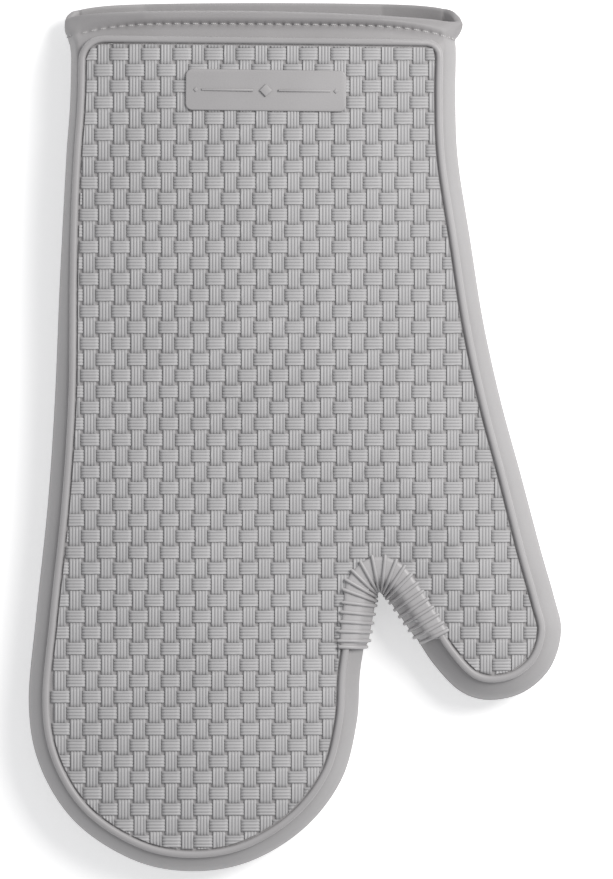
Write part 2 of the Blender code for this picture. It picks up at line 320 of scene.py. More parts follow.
def split_at_crotch(bm, filled):
    """Cuts a mesh along the crotch's line and returns it as palm with thumb, and fingers. A solid's cut
    faces are filled."""
    geometry = [*bm.verts, *bm.edges, *bm.faces]
    bmesh.ops.bisect_plane(bm, geom=geometry, dist=1e-5, plane_co=(0, SPLIT_Y, 0), plane_no=(0, 1, 0))
    fingers = bm.copy()
    for part, keep_fingers in ((bm, False), (fingers, True)):
        out = []
        for face in part.faces:
            centre = face.calc_center_median()
            is_finger = centre.y < SPLIT_Y and centre.x < CROTCH.x
            if is_finger != keep_fingers:
                out.append(face)
        bmesh.ops.delete(part, geom=out, context="FACES")
        if filled:
            open_edges = [e for e in part.edges if e.is_boundary]
            at_cut = [e for e in open_edges if all(abs(v.co.y - SPLIT_Y) < 1e-3 for v in e.verts)]
            bmesh.ops.triangle_fill(part, edges=at_cut, use_beauty=True, use_dissolve=False)
    return bm, fingers


def bend(piece, joint_name):
    """Bakes a piece's placement into its mesh. The joint is not used."""
    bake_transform(piece)


def make_pair(name, bm, material, sharp=40, filled=True):
    """A piece in two parts, one for the palm with the thumb and one for the fingers."""
    palm, fingers = split_at_crotch(bm, filled)
    pieces = []
    for part, ending, joint in ((palm, "palm", "thumb_pinch"), (fingers, "fingers", "finger_curl")):
        piece = finish(f"{name}_{ending}", part, material, sharp)
        bend(piece, joint)
        pieces.append(piece)
    return pieces


# Materials ----------------------------------------------------------------------------------------


class Value:
    """A shader socket that adds a Math node for each operation in an expression."""

    def __init__(self, finish_maker, socket):
        self.maker = finish_maker
        self.socket = socket

    def math(self, operation, *operands):
        return self.maker.node("ShaderNodeMath", {"operation": operation}, *operands)

    def __add__(self, other):
        return self.math("ADD", self, other)

    __radd__ = __add__

    def __sub__(self, other):
        return self.math("SUBTRACT", self, other)

    def __rsub__(self, other):
        return self.math("SUBTRACT", other, self)

    def __mul__(self, other):
        return self.math("MULTIPLY", self, other)

    __rmul__ = __mul__

    def sine(self):
        return self.math("SINE", self)

    def limited(self):
        return self.maker.node("ShaderNodeClamp", {}, self, 0.0, 1.0)


class Finish:
    """A material under construction, with its Principled shader."""

    def __init__(self, name, **constants):
        self.material = bpy.data.materials.new(name)
        self.material.use_nodes = True
        self.tree = self.material.node_tree
        self.shader = self.tree.nodes["Principled BSDF"]
        for socket, value in constants.items():
            self.shader.inputs[socket.replace("_", " ")].default_value = value

    def node(self, kind, settings, *values, output=0, **named):
        """Adds a node: its settings first, then values or links for its sockets, by place or by name."""
        node = self.tree.nodes.new(kind)
        for setting, value in settings.items():
            setattr(node, setting, value)
        wanted = [*enumerate(values), *named.items()]
        for socket, value in wanted:
            if isinstance(socket, str):
                socket = socket.replace("_", " ")
            if isinstance(value, Value):
                self.tree.links.new(value.socket, node.inputs[socket])
            elif value is not None:
                node.inputs[socket].default_value = value
        return Value(self, node.outputs[output])

    def feed(self, socket, value):
        self.tree.links.new(value.socket, self.shader.inputs[socket])

    def place(self):
        return self.node("ShaderNodeTexCoord", {}, output="Object")

    def axes(self, place):
        split = self.tree.nodes.new("ShaderNodeSeparateXYZ")
        self.tree.links.new(place.socket, split.inputs[0])
        return [Value(self, output) for output in split.outputs]

    def noise(self, place, scale, detail=3.0):
        sockets = {"Vector": place, "Scale": scale, "Detail": detail, "Roughness": 0.55}
        return self.node("ShaderNodeTexNoise", {}, **sockets)

    def blend_colours(self, share, first, second):
        mix = self.tree.nodes.new("ShaderNodeMix")
        mix.data_type = "RGBA"
        self.tree.links.new(share.socket, mix.inputs[0])
        for place, colour in ((6, first), (7, second)):
            if isinstance(colour, Value):
                self.tree.links.new(colour.socket, mix.inputs[place])
            else:
                mix.inputs[place].default_value = (*colour, 1)
        return Value(self, mix.outputs[2])

    def relief(self, height, distance, strength=1.0):
        bump = self.node("ShaderNodeBump", {}, Height=height, Distance=distance, Strength=strength)
        self.feed("Normal", bump)


# The hem's painted shade, in metres and per metre: where it comes in along the hand and upwards, and how fast
HEM_SHADE_FROM = (0.149, 0.010)
HEM_SHADE_RISE = (125.0, 150.0)


def silicone(name, dark, light, grain=0.00005, roughness=0.28, painted_hem_shade=None):
    """Satin moulded silicone: faint mottling, a fine moulded grain and slightly uneven gloss. A darker tone
    of painted shade takes over above the seam, on the front."""
    made = Finish(name, Specular_IOR_Level=0.5, IOR=1.42)
    place = made.place()
    mottle = made.noise(place, 38.0, detail=4.0)
    speck = made.noise(place, 1900.0, detail=2.0)
    share = (mottle * 0.75 + speck * 0.5 - 0.12).limited()
    colour = made.blend_colours(share, dark, light)
    # painted shade: the front of the hem above the seam is coloured darker
    if painted_hem_shade:
        x, y, z = made.axes(place)
        past_seam = ((y - HEM_SHADE_FROM[0]) * HEM_SHADE_RISE[0]).limited()
        on_front = ((z - HEM_SHADE_FROM[1]) * HEM_SHADE_RISE[1]).limited()
        colour = made.blend_colours(past_seam * on_front, colour, made.blend_colours(share, *painted_hem_shade))
    made.feed("Base Color", colour)
    made.feed("Roughness", mottle * 0.16 + speck * 0.1 + roughness)
    made.relief(speck, grain, 0.8)
    return made.material


def cotton(name, dark, light, pitch):
    """Plain-woven cotton: threads over and under at `pitch` metres, with slubs."""
    made = Finish(name, Specular_IOR_Level=0.2, Sheen_Weight=0.25)
    place = made.place()
    x, y, z = made.axes(place)
    slub = made.noise(place, 900.0)
    across = (x * (math.pi / pitch) + slub * 0.6).sine()
    along = (y * (math.pi / pitch) + slub * 0.6).sine()
    weave = across * along * 0.5 + 0.5
    made.feed("Base Color", made.blend_colours((weave * 0.6 + slub * 0.5).limited(), dark, light))
    made.feed("Roughness", slub * 0.2 + 0.78)
    made.relief(weave + slub * 0.6, pitch * 0.3, 0.7)
    return made.material


def thread_finish():
    """Twisted sewing thread."""
    made = Finish("seam_thread", Specular_IOR_Level=0.25, Sheen_Weight=0.2)
    x, y, z = made.axes(made.place())
    twist = ((x + y * 0.6 + z * 0.4) * 9000.0).sine() * 0.5 + 0.5
    made.feed("Base Color", made.blend_colours(twist, (0.33, 0.32, 0.32), (0.55, 0.54, 0.54)))
    made.feed("Roughness", twist * 0.1 + 0.7)
    made.relief(twist, 0.00012, 0.6)
    return made.material


# One grey silicone in four tones, as painted light and shade: the raised weave and sleeve lightest, the bead
# between, the skin darkest on its side walls and in the gaps between the floats
SLEEVE_TONES = (0.40, 0.39, 0.395), (0.50, 0.49, 0.495)
SKIN_TONES = (0.31, 0.30, 0.303), (0.395, 0.386, 0.39)
# darker tones of painted shade for the hem's front above the seam
HEM_SHADE_TONES = (0.265, 0.255, 0.258), (0.335, 0.325, 0.329)
BEAD_TONES = (0.345, 0.335, 0.338), (0.435, 0.425, 0.43)
WEAVE_TONES = (0.39, 0.385, 0.39), (0.50, 0.494, 0.50)
COTTON_TONES = (0.30, 0.29, 0.295), (0.50, 0.49, 0.49)
THREAD_PITCH = 0.0006

# these silicones share one colour; the differences between their tones are painted light and shade
SLEEVE_SILICONE = silicone("sleeve_silicone", *SLEEVE_TONES)
GREY_SILICONE = silicone("grey_silicone", *SKIN_TONES, roughness=0.36)
# the hem's silicone, with painted shade on its front above the seam
HEM_SILICONE_WITH_SHADE = silicone("hem_silicone_with_shade", *SKIN_TONES, roughness=0.36, painted_hem_shade=HEM_SHADE_TONES)
BEAD_SILICONE = silicone("bead_silicone", *BEAD_TONES)
WEAVE_SILICONE = silicone("weave_silicone", *WEAVE_TONES, grain=0.00003, roughness=0.40)
LINING_COTTON = cotton("lining_cotton", *COTTON_TONES, THREAD_PITCH)
SEAM_THREAD = thread_finish()


# The skin -----------------------------------------------------------------------------------------

HEM_Y = 146.0  # the skin's body ends here, beside the bead's top, and the hem goes on to the cuff
NET_SIZE = (210, 320)  # of the net that is cut out to fill a flat face
NET_MARGIN = 0.65 * SHEET_STEP


def shell(bm, depth, top):
    """A surface inside the skin at a depth, open at the cuff end."""
    path = [p for p in smooth_curve(OUTLINE, PATH_STEP) if p.y < top - PATH_STEP / 2]
    path = [Vector((path[0].x, top)), *path, Vector((path[-1].x, top))]
    normals = left_normals(path)
    normals[0], normals[-1] = Vector((1, 0)), Vector((-1, 0))
    flatter = (HALF_HEIGHT - depth) / HALF_HEIGHT
    profile = [(inset, -rise) for inset, rise in reversed(SIDE_WALL[1:])] + SIDE_WALL
    rows = []
    for inset, rise in profile:
        row = []
        for p, n in zip(path, normals):
            reach = depth + inset * side_width(p) / BEAD_INSET
            row.append((*(p + n * reach), MIDDLE + rise * flatter))
        rows.append(row)
    rings = sweep(bm, rows)
    for ring in rings:
        fill_flat_face(bm, ring, depth + SIDE_WALL[-1][0], top)


def fill_flat_face(bm, ring, ring_inset, top):
    """Fills a ring and the line across its open end with a net of even faces."""
    ends = ring[-1].co.copy(), ring[0].co.copy()
    steps = round((ends[0] - ends[1]).length / SHEET_STEP)
    across = [bm.verts.new(ends[0].lerp(ends[1], i / steps)) for i in range(1, steps)]
    loop = [*ring, *across]
    border = [bm.edges.get(pair) or bm.edges.new(pair) for pair in zip(loop, loop[1:] + loop[:1])]
    x_steps, y_steps = (round(length / SHEET_STEP) for length in NET_SIZE)
    x_half, y_half = (length / 2 for length in NET_SIZE)
    place = Matrix.LocRotScale((0, top - y_half, ring[0].co.z), None, (x_half, y_half, 1))
    grid = bmesh.ops.create_grid(bm, x_segments=x_steps, y_segments=y_steps, size=1, matrix=place)["verts"]
    outside = []
    for vertex in grid:
        point = vertex.co.xy
        needed = ring_inset * side_width(point) / BEAD_INSET + NET_MARGIN
        if point.y > top - NET_MARGIN or not inside(point) or edge_near(*point)[0] < needed:
            outside.append(vertex)
    bmesh.ops.delete(bm, geom=outside, context="VERTS")
    kept = [v for v in grid if v.is_valid]
    corners = [v for v in kept if sum(e.is_boundary for e in v.link_edges) not in (0, 2)]
    bmesh.ops.delete(bm, geom=corners + [v for v in kept if not v.link_faces], context="VERTS")
    kept = {v for v in kept if v.is_valid}
    bmesh.ops.delete(bm, geom=[v for v in kept if not v.link_faces], context="VERTS")
    inner = {e for v in kept if v.is_valid for e in v.link_edges if e.is_boundary}
    rims = border + list(inner)
    bmesh.ops.triangle_fill(bm, edges=rims, use_beauty=True, use_dissolve=False, normal=(0, 0, 1))


OUTLINE_POLYGON = [tuple(p) for p in smooth_curve(OUTLINE, 4.0)]


def inside(place):
    """Whether a place is inside the outline."""
    x, y = place[0], place[1]
    hit = False
    for (x0, y0), (x1, y1) in zip(OUTLINE_POLYGON, OUTLINE_POLYGON[1:] + OUTLINE_POLYGON[:1]):
        if (y0 > y) != (y1 > y) and x < x0 + (x1 - x0) * (y - y0) / (y1 - y0):
            hit = not hit
    return hit


def make_skin():
    """The smooth silicone skin under the relief: a side wall with a parting line and two flat faces."""
    bm = bmesh.new()
    shell(bm, 0.0, HEM_Y)
    face_outwards(bm)
    palm, fingers = make_pair("skin", bm, GREY_SILICONE, filled=False)
    for piece in (palm, fingers):
        wall = piece.modifiers.new("wall", "SOLIDIFY")
        wall.thickness = SKIN_WALL * MM
        wall.offset = -1
    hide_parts("palm_front_skin", "palm_back_skin", "thumb_front_skin", "thumb_back_skin")
    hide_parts("finger_front_skin", "finger_back_skin")


# The liner ----------------------------------------------------------------------------------------

LINER_DEPTH = 2.25
LINER_THICKNESS = 3.7
LINER_TOP = 157.0
QUILT = 27.0  # the diamonds' side
QUILT_PUFF = 1.5
QUILT_ENDS = 3.0  # below the liner's top, where the quilting has faded out
FLARE_FROM = 52.0  # from the cuff's middle; past this the liner's mouth spreads out into the hem
FLARE_WIDTH = 16.0
FLARE_ABOVE = 3.0  # the hem's lower end
FLARE_LENGTH = 7.0


def quilt_puff(x, y):
    """How far the padding swells between its diagonal rows of stitches."""
    first = abs(math.sin(math.pi * (x + y) / (QUILT * math.sqrt(2))))
    second = abs(math.sin(math.pi * (x - y) / (QUILT * math.sqrt(2))))
    return QUILT_PUFF * math.sqrt(first * second)


def make_liner():
    """The padded cotton bag inside the skin, quilted in diamonds on its inner side."""
    bm = bmesh.new()
    shell(bm, LINER_DEPTH, LINER_TOP)
    outer = set(bm.verts)
    shell(bm, LINER_DEPTH + LINER_THICKNESS, LINER_TOP)
    for vertex in bm.verts:
        x, y, z = vertex.co
        if vertex not in outer:
            height = abs(z - MIDDLE) / (HALF_HEIGHT - LINER_DEPTH - LINER_THICKNESS)
            fade = smoothstep((height - 0.6) / 0.4) * smoothstep((LINER_TOP - QUILT_ENDS - y) / 8)
            vertex.co.z -= math.copysign(quilt_puff(x, y) * fade, z - MIDDLE)
        to_corner = smoothstep((abs(x - CUFF_MIDDLE) - FLARE_FROM) / FLARE_WIDTH)
        to_mouth = smoothstep((y - HEM_Y - FLARE_ABOVE) / FLARE_LENGTH)
        vertex.co.x += math.copysign(HEM_FLARE * to_corner * to_mouth, x - CUFF_MIDDLE)
    rims = [e for e in bm.edges if e.is_boundary]
    bmesh.ops.bridge_loops(bm, edges=rims)
    face_outwards(bm)
    palm, fingers = make_pair("liner", bm, LINING_COTTON)
    for piece, bodies in ((palm, ("palm", "thumb")), (fingers, ("finger",))):
        for body in bodies:
            for face in FACES:
                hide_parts(f"{body}_{face}_lining", f"{body}_{face}_padding")


# The hem at the cuff ------------------------------------------------------------------------------

STITCH_PITCH = 3.5
STITCH_LENGTH = 2.3
STITCH_THICKNESS = 0.75
HEM_ROLL = 0.9
SEAM_PINCH = 1.2
HOLE_DEPTH = 0.75
LIP_RADIUS = 1.4
CORNER_DROP = 1.0
FLAT_STEPS = 252  # across one face of the cuff, six for each stitch
BELOW_SEAM = (-3.2, -2.0, -1.2, -0.7, -0.35, 0.0, 0.35, 0.7, 1.3, 2.2)  # rows, from the seam
ABOVE_SEAM = (0.35, 0.55, 0.75, 0.9, 1.0)  # rows, in shares of the way from the last of those to the lip
INSIDE_ROWS = (0.3, 0.7, 1.0)  # rows, in shares of the way from the lip down inside


def cuff_section():
    """The cuff's cross-section as (place, outward direction), once round from the thumb side."""
    left, right = MOUTH_SIDES
    left_share, right_share = (side_width(Vector((x, HEM_Y))) / BEAD_INSET for x in MOUTH_SIDES)
    flat_from = right - SIDE_WALL[-1][0] * right_share
    flat_width = flat_from - left - SIDE_WALL[-1][0] * left_share
    flat = [flat_from - flat_width * i / FLAT_STEPS for i in range(1, FLAT_STEPS)]
    points = [(right - inset * right_share, rise) for inset, rise in SIDE_WALL]
    points += [(x, HALF_HEIGHT) for x in flat]
    points += [(left + inset * left_share, rise) for inset, rise in reversed(SIDE_WALL)]
    points += [(left + inset * left_share, -rise) for inset, rise in SIDE_WALL[1:]]
    points += [(x, -HALF_HEIGHT) for x in reversed(flat)]
    points += [(right - inset * right_share, -rise) for inset, rise in reversed(SIDE_WALL[1:])]
    points = smooth_curve(points + points[:1], STITCH_PITCH / 6)[:-1]
    section = []
    for before, here, after in zip(points[-1:] + points[:-1], points, points[1:] + points[:1]):
        along = after - before
        section.append((here, Vector((along.y, -along.x)).normalized()))
    return section


def lip_y(point):
    """The cuff's edge: the back wall reaches further than the front one, and both drop at the corners."""
    u = (point.x - CUFF_MIDDLE) / CUFF_HALF_WIDTH
    front = 161.7 - 2.2 * (u + 0.3) ** 2 - 1.2 * u**16
    back = 165.2 - 1.0 * u**2 - 2.6 * u**8
    share = smoothstep(0.5 + point.y / (2 * HALF_HEIGHT))
    corner = smoothstep((abs(u) - 0.9) / 0.12)
    return front * share + back * (1 - share) - CORNER_DROP * corner * (1 - abs(2 * share - 1))


class Hem:
    """Places on the hem's surface, for the hem itself and for the stitches on it."""

    def __init__(self):
        self.section = cuff_section()
        self.lengths = [0.0]
        for (a, _), (b, _) in zip(self.section, self.section[1:] + self.section[:1]):
            self.lengths.append(self.lengths[-1] + (b - a).length)
        self.stitches = round(self.lengths[-1] / STITCH_PITCH)

    def phase(self, index):
        return self.lengths[index] / self.lengths[-1] * self.stitches

    def place(self, index, y, depth):
        """A place on the section at y, `depth` under the surface."""
        point, normal = self.section[index]
        gap = y - seam_y(point.x)
        hole = max(0.0, math.cos(2 * math.pi * self.phase(index))) ** 4
        pinch = SEAM_PINCH * math.exp(-((gap / 1.6) ** 2)) + HOLE_DEPTH * hole * math.exp(-((gap / 0.6) ** 2))
        above = min(1.0, max(0.0, gap) / (lip_y(point) - seam_y(point.x)))
        roll = HEM_ROLL * math.sin(math.pi * above)
        side = abs(normal.x)
        spread = smoothstep((gap + 5) / 6.5) if normal.x < 0 else 1.15 * smoothstep((gap + 2) / 9)
        out = (roll - pinch) * (1 - 0.6 * side) + HEM_FLARE * spread * side - depth
        return Vector((point.x + normal.x * out, y, max(0.05, MIDDLE + point.y + normal.y * out)))

    def rows(self):
        """The hem from its lower end up to the lip, round it and down inside."""
        everywhere = range(len(self.section))
        seams = [seam_y(point.x) for point, normal in self.section]
        lips = [lip_y(point) - LIP_RADIUS for point, normal in self.section]
        yield [self.place(i, HEM_Y - 4, 0.12) for i in everywhere]
        yield [self.place(i, HEM_Y, -0.01) for i in everywhere]
        for rank, gap in enumerate(BELOW_SEAM):
            lowest = HEM_Y + 0.2 * (rank + 1)
            yield [self.place(i, max(seams[i] + gap, lowest), 0) for i in everywhere]
        for share in ABOVE_SEAM:
            start = BELOW_SEAM[-1]
            yield [self.place(i, (seams[i] + start) * (1 - share) + lips[i] * share, 0) for i in everywhere]
        for degrees in range(30, 181, 30):
            up, round_in = math.sin(math.radians(degrees)), 1 - math.cos(math.radians(degrees))
            yield [self.place(i, lips[i] + LIP_RADIUS * up, LIP_RADIUS * round_in) for i in everywhere]
        for share in INSIDE_ROWS:
            y = [lip * (1 - share) + (HEM_Y - 3) * share for lip in lips]
            depth = 2 * LIP_RADIUS * (1 - share) + (SKIN_WALL + 0.1) * share
            yield [self.place(i, y[i], depth) for i in everywhere]


def make_hem():
    """The cuff's hem: pinched at the seam, rolled and flared above it, with a round lip."""
    hem_form = Hem()
    bm = bmesh.new()
    first, last = sweep(bm, list(hem_form.rows()), closed=True)
    edges = [bm.edges.get(pair) for row in (first, last) for pair in zip(row, row[1:] + row[:1])]
    bmesh.ops.bridge_loops(bm, edges=edges)
    face_outwards(bm)
    hem = finish("hem", bm, HEM_SILICONE_WITH_SHADE)
    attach(hem, "palm")
    make_stitches(hem_form)


def make_stitches(hem_form):
    """The seam's thread: one short stitch between each two holes."""
    bm = bmesh.new()
    count = len(hem_form.section)
    for stitch in range(hem_form.stitches):
        middle = min(range(count), key=lambda i: abs(hem_form.phase(i) - stitch - 0.5))
        ends = []
        for index in ((middle - 2) % count, (middle + 2) % count):
            point, normal = hem_form.section[index]
            ends.append(hem_form.place(index, seam_y(point.x), -0.1))
        turn = (ends[1] - ends[0]).to_track_quat("X", "Z").to_matrix().to_4x4()
        size = Matrix.Diagonal((STITCH_LENGTH / 2, STITCH_THICKNESS / 2, STITCH_THICKNESS / 2, 1))
        place = Matrix.Translation((ends[0] + ends[1]) / 2) @ turn @ size
        bmesh.ops.create_uvsphere(bm, u_segments=8, v_segments=6, radius=1, matrix=place)
    thread = finish("seam_stitches", bm, SEAM_THREAD)
    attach(thread, "palm")
    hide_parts("cuff_thread")


# The border bead ----------------------------------------------------------------------------------

# Across towards the relief and up, in shares of the bead's half width and its height
BEAD_PROFILE = [
    (-1.0, -0.6), (-0.96, 0.55), (-0.88, 0.85), (-0.72, 1.0), (0.2, 1.0), (0.5, 0.9), (0.75, 0.62),
    (0.9, 0.2), (1.0, -0.6),
]


def arc(centre, radius, first, last):
    """Points every 10 degrees along an arc."""
    angles = [math.radians(a) for a in range(first, last + 1, 10)]
    return [Vector(centre) + radius * Vector((math.cos(a), math.sin(a))) for a in angles]


def bead_line():
    """The bead's middle line, from the thumb end of the crotch sleeve round to its finger end."""
    path = [p + n * (side_width(p) + BEAD_WIDTH / 2) for p, n in zip(EDGE, EDGE_NORMALS)]
    crotch = min(range(len(path)), key=lambda i: (path[i] - CROTCH).length)
    left_radius, right_radius = (radius - BEAD_WIDTH / 2 for radius in BEAD_CORNERS)
    left_top, right_top = (bead_top(x) - BEAD_WIDTH / 2 for x in BEAD_CORNERS_AT)
    thumb_side = [p for p in path[crotch:] if p.y < right_top - right_radius]
    while thumb_side[0].y > BEAD_THUMB_END_Y:
        thumb_side.pop(0)
    finger_side = [p for p in path[:crotch] if p.y < left_top - left_radius]
    while finger_side[-1].y > BEAD_FINGER_END_Y:
        finger_side.pop()
    right_centre = (thumb_side[-1].x - right_radius, right_top - right_radius)
    left_centre = (finger_side[0].x + left_radius, left_top - left_radius)
    corners = [*arc(right_centre, right_radius, 0, 90), *arc(left_centre, left_radius, 90, 180)]
    return resample([*thumb_side, *corners, *finger_side], BEAD_STEP)


def bead_top(x):
    """Where the bead's outer edge crosses the cuff."""
    return BEAD_TOP + BEAD_TILT * (x - CUFF_MIDDLE)


def make_bead():
    """The flat-topped bead that borders each face."""
    line = bead_line()
    normals = left_normals(line)
    bm = bmesh.new()
    for side in FACES.values():
        rows = []
        for p, n in zip(line, normals):
            row = []
            for across, up in BEAD_PROFILE:
                place = p + n * across * BEAD_WIDTH / 2
                row.append((*place, MIDDLE + side * (HALF_HEIGHT + up * BEAD_HEIGHT)))
            rows.append(row)
        first, last = sweep(bm, rows, closed=True)
        cap(bm, first)
        cap(bm, last)
    face_outwards(bm)
    make_pair("border_bead", bm, BEAD_SILICONE, sharp=50)


# The woven relief ---------------------------------------------------------------------------------

# Places along a float as (share of half its length, share of its height), without its two feet
ALONG_FLOAT = [(-0.93, 0.6), (-0.55, 0.93), (0.0, 1.0), (0.55, 0.93), (0.93, 0.6)]
ACROSS_RIB = (0.0, 0.22, 0.78)  # a groove and the two shoulders of a rib, in shares of the rib's width


def float_mesh(width, length):
    """One float: a strand of four ribs that arches over the strand it crosses. It runs along Y."""
    bm = bmesh.new()
    columns, lines = 3 * RIBS, len(ALONG_FLOAT) + 1
    grid = bmesh.ops.create_grid(bm, x_segments=columns, y_segments=lines, size=1)["verts"]
    for vertex in grid:
        column = round((vertex.co.x + 1) / 2 * columns)
        line = round((vertex.co.y + 1) / 2 * lines)
        across = 2 * (column // 3 + ACROSS_RIB[column % 3]) / RIBS - 1
        share, height = math.copysign(1, vertex.co.y), -FLOAT_ROOT
        if 0 < line < lines:
            share, rise = ALONG_FLOAT[line - 1]
            groove = RIB_GROOVE if column % 3 == 0 else 0.0
            height = FLOAT_HEIGHT * rise * (1 - 0.1 * across**2) - groove
        if column in (0, columns):
            height = -FLOAT_ROOT
        vertex.co = (across * width / 2, share * length / 2, height)
    bmesh.ops.edgeloop_fill(bm, edges=[e for e in bm.edges if e.is_boundary])
    face_outwards(bm)
    mesh = bpy.data.meshes.new("float")
    bm.to_mesh(mesh)
    bm.free()
    return mesh


def make_weave():
    """The plain-weave relief on both faces: floats run lengthwise and crosswise in turn."""
    lengthwise = float_mesh(*LENGTHWISE_FLOAT)
    crosswise = float_mesh(*CROSSWISE_FLOAT)
    crosswise.transform(Matrix.Rotation(math.pi / 2, 4, "Z"))
    border = Border(resample(bead_line(), 1.0))
    for face, side in FACES.items():
        bm = bmesh.new()
        for row in WEAVE_ROWS:
            for column in WEAVE_COLUMNS:
                y = WEAVE_START[1] - row * CELL[1]
                x = WEAVE_START[0] + column * CELL[0] + WEAVE_LEAN * (WEAVE_START[1] - y)
                strand = lengthwise if (row + column) % 2 == 0 else crosswise
                add_float(bm, strand, Vector((x, y)), side, border)
        if side < 0:
            bmesh.ops.reverse_faces(bm, faces=bm.faces)
        make_pair(f"weave_{face}", bm, WEAVE_SILICONE, sharp=75)


class Border:
    """The bead's middle line, which the relief runs up to."""

    def __init__(self, line):
        self.line = line
        self.normals = left_normals(line)
        self.tree = kdtree.KDTree(len(line))
        for index, point in enumerate(line):
            self.tree.insert((*point, 0), index)
        self.tree.balance()

    def nearest(self, point):
        """The nearest point of the line, its inward direction, and how far inside it a point lies."""
        place, index, distance = self.tree.find((*point, 0))
        if 0 < index < len(self.line) - 1:
            inset = (point - self.line[index]).dot(self.normals[index])
        else:
            inset = math.inf if inside(point) and edge_near(*point)[0] > UNDER_SLEEVE else -math.inf
        return self.line[index], self.normals[index], inset


def add_float(bm, strand, centre, side, border):
    """Adds one float, cut off along the bead where it would cross it."""
    nearest, normal, inset = border.nearest(centre)
    margin = BEAD_WIDTH / 2 + BEAD_GAP
    if inset < margin - FLOAT_REACH:
        return
    float_bm = bmesh.new()
    float_bm.from_mesh(strand)
    upright = 1 if side > 0 else -BACK_FLATTENED
    place = Matrix.Translation((*centre, MIDDLE + side * HALF_HEIGHT)) @ Matrix.Diagonal((1, 1, upright, 1))
    bmesh.ops.transform(float_bm, matrix=place, verts=float_bm.verts)
    if inset < margin + FLOAT_REACH:
        geometry = [*float_bm.verts, *float_bm.edges, *float_bm.faces]
        cut_at = (*(nearest + normal * margin), 0)
        bmesh.ops.bisect_plane(
            float_bm, geom=geometry, dist=1e-4, plane_co=cut_at, plane_no=(*-normal, 0), clear_outer=True
        )
        bmesh.ops.holes_fill(float_bm, edges=[e for e in float_bm.edges if e.is_boundary])
    if float_bm.faces:
        cut = bpy.data.meshes.new("cut_float")
        float_bm.to_mesh(cut)
        bm.from_mesh(cut)
        bpy.data.meshes.remove(cut)
    float_bm.free()


# The sleeve round the crotch ----------------------------------------------------------------------

# Ribs by number from the fingers' end, with their crotch end and their palm end; those between lie evenly
SLEEVE_RIBS = {
    0: ((27.2, -80.0), (17.2, -79.8)),
    1: ((28.4, -77.6), (16.8, -77.5)),
    5: ((30.7, -64.3), (18.4, -62.9)),
    6: ((31.0, -62.5), (18.7, -58.1)),
    7: ((31.0, -60.9), (19.6, -54.4)),
    8: ((31.0, -59.8), (21.9, -50.9)),
    9: ((31.3, -58.9), (25.0, -47.7)),
    10: ((31.9, -58.6), (29.4, -45.6)),
    11: ((33.0, -59.0), (34.3, -45.5)),
    12: ((33.6, -59.6), (38.5, -47.0)),
    13: ((34.2, -60.5), (41.6, -49.3)),
    14: ((34.9, -61.6), (44.1, -52.4)),
    15: ((36.2, -63.3), (46.4, -55.7)),
    20: ((45.4, -76.5), (56.1, -70.6)),
    21: ((48.0, -78.4), (57.8, -73.5)),
}
LAST_RIB = max(SLEEVE_RIBS)
THUMB_PART_FROM = 10.5  # the valley where the sleeve's two parts meet
SLEEVE_WALL = 2.0  # over the skin's flat face
SLEEVE_VALLEY = 0.45  # how much deeper the sleeve lies than its ribs at the crotch's edge
SLEEVE_SUNK = 2.3  # from the ribs' edge to the sleeve's hidden inside
RIB_RADIUS = 0.68
LIP_RIB_RADIUS = 0.75
RIB_RISE = 0.35  # how far a rib's middle stands out of the valley
RIB_KNOB = 0.5  # how far a rib's end stands out past the sleeve's border
RIB_SIDES = 8


def sleeve_rib(number):
    """A rib's crotch end and palm end; a number between two ribs gives a place in the valley."""
    before = max(n for n in SLEEVE_RIBS if n <= number)
    after = min(n for n in SLEEVE_RIBS if n >= number)
    share = (number - before) / (after - before) if after > before else 0.0
    return [Vector(a).lerp(Vector(b), share) for a, b in zip(SLEEVE_RIBS[before], SLEEVE_RIBS[after])]


def sleeve_profile(width):
    """Half of the sleeve's outside, from the parting line over the side wall to its border on the face."""
    top = HALF_HEIGHT + SLEEVE_WALL
    wall = [(SLEEVE_VALLEY + inset, rise * top / HALF_HEIGHT) for inset, rise in SIDE_WALL]
    border = [(-1.6, top), (-0.7, top - 0.15), (-0.2, top - 0.55), (0.0, top - 1.1), (0.0, HALF_HEIGHT - 0.3)]
    return wall + [(width + inset, rise) for inset, rise in border]


def sleeve_section(crotch_end, palm_end):
    """The sleeve's cross-section: its outside from the palm round the edge to the back, and its inside."""
    width = (palm_end - crotch_end).length
    inward = (palm_end - crotch_end) / width
    front = sleeve_profile(width)
    hidden = [(SLEEVE_SUNK + inset, rise * 0.94) for inset, rise in SIDE_WALL]
    outside = [*reversed(front), *[(inset, -rise) for inset, rise in front[1:]]]
    inside_wall = [*[(inset, -rise) for inset, rise in reversed(hidden[1:])], *hidden]
    return [(*(crotch_end + inward * inset), MIDDLE + rise) for inset, rise in outside + inside_wall]


def rib_rows(crotch_end, palm_end, radius):
    """Rings of places round a rib, which runs from the palm round the edge to the back."""
    width = (palm_end - crotch_end).length
    inward = (palm_end - crotch_end) / width
    across = Vector((-inward.y, inward.x, 0))
    top = HALF_HEIGHT + SLEEVE_WALL
    half = [*sleeve_profile(width)[:-4], (width - 0.3, top - 0.15), (width + RIB_KNOB, top - 0.35)]
    path = [*reversed(half), *[(inset, -rise) for inset, rise in half[1:]]]
    rows = []
    for index, (inset, rise) in enumerate(path):
        before, after = path[max(index - 1, 0)], path[min(index + 1, len(path) - 1)]
        along = Vector((after[0] - before[0], after[1] - before[1])).normalized()
        outward = Vector((*(inward * along.y), -along.x))
        centre = Vector((*(crotch_end + inward * inset), MIDDLE + rise)) + outward * RIB_RISE
        size = radius * (0.75 if index in (0, len(path) - 1) else 1)
        turns = [math.tau * k / RIB_SIDES for k in range(RIB_SIDES)]
        rows.append([centre + size * (math.cos(a) * across + math.sin(a) * outward) for a in turns])
    return rows


